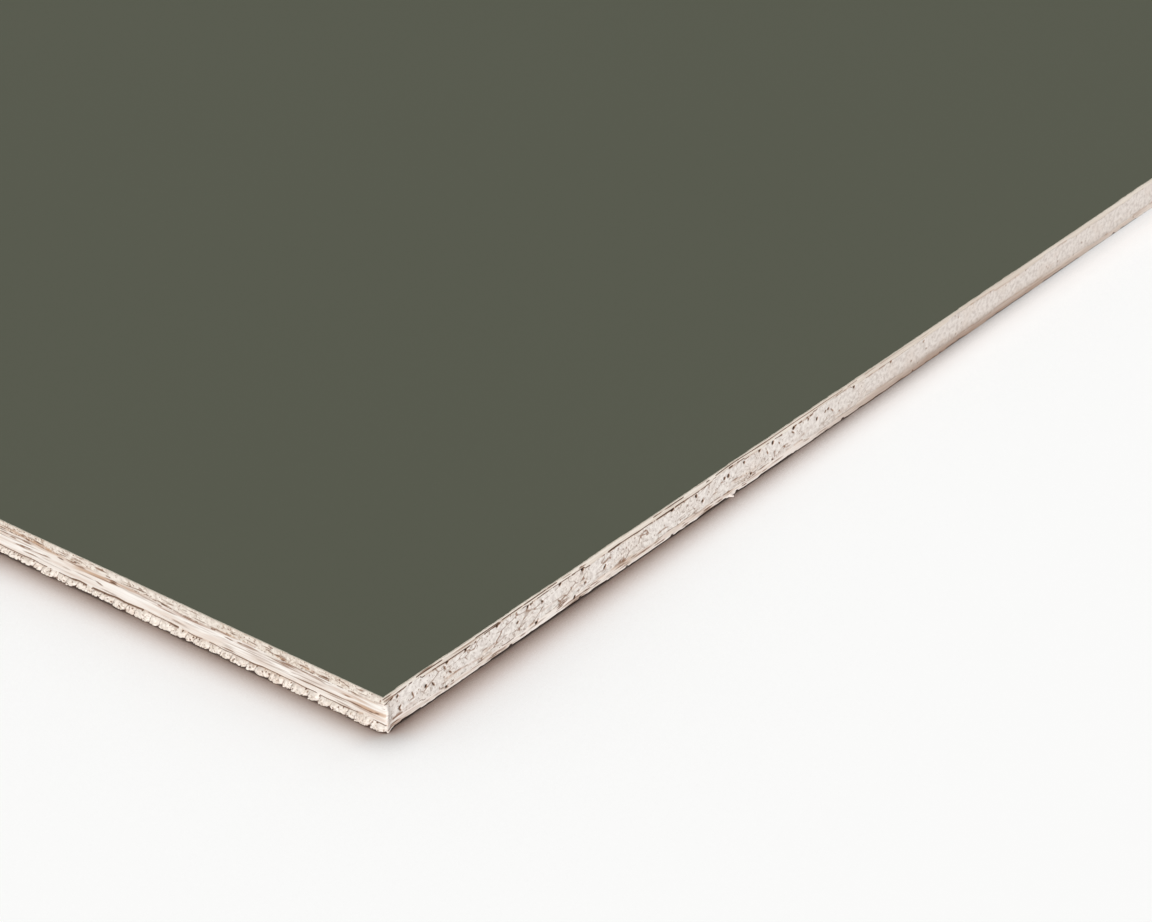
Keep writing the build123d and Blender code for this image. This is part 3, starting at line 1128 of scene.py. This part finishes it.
def across_grain(grain, tones, blush, line_tone, crisp):
    """End grain: smudges, a blush, curved lines and specks."""
    wood = grain.smudge.steps_up(*CUT_SPAN).between(*tones)
    wood = (grain.tint.steps_up(*BLUSH_SPAN) * CUT_BLUSH).between(wood, blush)
    broad = thin_lines(grain.whorl, BROAD_WIDTH, grain.streak, BROAD_SHOWS)
    fine = thin_lines(grain.ripple, FINE_WIDTH, grain.tint, FINE_SHOWS)
    specks = 1 - grain.speck.steps_up(*SPECK_SPAN)
    lines = broad * BROAD_WEIGHT + fine * FINE_WEIGHT + specks * SPECK_WEIGHT
    return (lines.steps_up(0, 1) * crisp).between(wood, line_tone)


print("tones along and across the grain")

# %% Veneer finishes


def veneer_finish(name, grain_axis, end_is_cut, side_tones, cut_tones, blush, line_tone):
    """Wood for one veneer, with the stains, the dark lines and the painted shade that its wall carries."""
    material, shader, place = new_finish(name, roughness=0.85, gloss=0.08)
    grain = grown(place, grain_axis)
    on_end, crisp, stain, dark = (place.painted(label) for label in ("on_end", "crisp", "stain", "dark"))
    side = along_grain(grain, side_tones, blush, line_tone)
    across = across_grain(grain, cut_tones, blush, line_tone, crisp)
    wood = (on_end if end_is_cut else 1 - on_end).between(side, across)
    wood = ((1 - crisp) * HAZE).between(wood, line_tone)
    resin = grain.tint.steps_up(*RESIN_SPAN).between(GLUE_PINK, RESIN)
    wood = (stain * (grain.soaked.steps_up(*SOAK_SPAN) * SOAK_WEIGHT)).between(wood, resin)
    wood = dark.steps_up(*BROWN_FROM).between(wood, SEAM_AND_SHADE_BROWN)
    wood = dark.steps_up(*BLACK_FROM).between(wood, BLACKENED)
    plug(wood, shader, "Base Color")
    rough = {**GRAIN_BUMP, "Height": (grain.fibre + grain.speck) / 2}
    plug(place.node("ShaderNodeBump", None, rough), shader, "Normal")
    print(name, len(material.node_tree.nodes), "nodes")
    return material


face_wood = veneer_finish(
    "face_veneer_wood", 0, True,
    side_tones=((0.74, 0.655, 0.58), (0.90, 0.84, 0.77)),
    cut_tones=((0.71, 0.63, 0.56), (0.90, 0.835, 0.76)),
    blush=(0.86, 0.76, 0.66), line_tone=(0.40, 0.28, 0.19),
)
back_wood = veneer_finish(
    "back_veneer_wood", 0, True,
    side_tones=((0.78, 0.68, 0.61), (0.98, 0.91, 0.86)),
    cut_tones=((0.79, 0.71, 0.63), (0.96, 0.89, 0.82)),
    blush=(0.90, 0.78, 0.69), line_tone=(0.42, 0.29, 0.20),
)
core_wood = veneer_finish(
    "core_veneer_wood", 1, False,
    side_tones=((0.83, 0.755, 0.69), (0.99, 0.955, 0.915)),
    cut_tones=((0.72, 0.66, 0.62), (0.93, 0.88, 0.84)),
    blush=(0.87, 0.78, 0.71), line_tone=(0.36, 0.27, 0.22),
)
for piece, material in ((face, face_wood), (core, core_wood), (back, back_wood)):
    piece.data.materials.append(material)

# %% [markdown]
# ## Film
#
# The show face is a thin matt olive film, pressed on and sawn through with the sheet, so its own edge is
# pale. The saw chipped it here and there, which lets a thread of veneer show along the rim.

# %% Face film with a chipped rim
FILM_FAR_STEP = 0.5
OLIVE_LOW = 0.087, 0.092, 0.067
OLIVE_HIGH = 0.093, 0.098, 0.072
FILM_EDGE = 0.64, 0.60, 0.51
MOTTLE_BROAD, MOTTLE_FINE = (60, 60, 60), (0.6, 0.6, 0.6)
LEVEL_FACE = 0.4, 0.8
RAGGED, RAGGED_WAVE = 0.015, 0.5
CHIP_DEPTH, CHIP_WAVE, CHIP_EDGE = 0.07, 7, (0.35, 0.9)
JAG, JAG_WAVE = 0.3, 0.8

walk = Walk(FILM_FAR_STEP, FILM_FAR_STEP)
film_low, film_high = (np.full(len(walk.run), level) for level in layers["face_film"])
film_wall = Wall(walk, film_low, film_high, (0, 1))
ragged = RAGGED * (1 + cloud(91, walk.run / RAGGED_WAVE))
jagged = cloud(92, walk.run / CHIP_WAVE) + JAG * cloud(93, walk.run / JAG_WAVE)
chipped = CHIP_DEPTH * soft_step(jagged, *CHIP_EDGE)
film_wall.relief = -np.repeat((ragged + chipped * ~walk.crosscut)[:, None], 2, 1)
film = close_wall("face_film_pressed", film_wall, layers["face_film"], (HIDDEN_CAP, SHOWN_CAP))
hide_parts("face_film")

matt, matt_shader, on_film = new_finish("olive_film_matt", roughness=0.75, gloss=0.03)
mottle = (on_film.noise(MOTTLE_BROAD) + on_film.noise(MOTTLE_FINE)) / 2
facing = on_film.node("ShaderNodeNewGeometry", output="Normal")
upright = abs(on_film.node("ShaderNodeSeparateXYZ", None, {"Vector": facing}, "Z"))
level_face = upright.steps_up(*LEVEL_FACE)
plug(level_face.between(FILM_EDGE, mottle.between(OLIVE_LOW, OLIVE_HIGH)), matt_shader, "Base Color")
film.data.materials.append(matt)
print("film", len(matt.node_tree.nodes), "nodes")
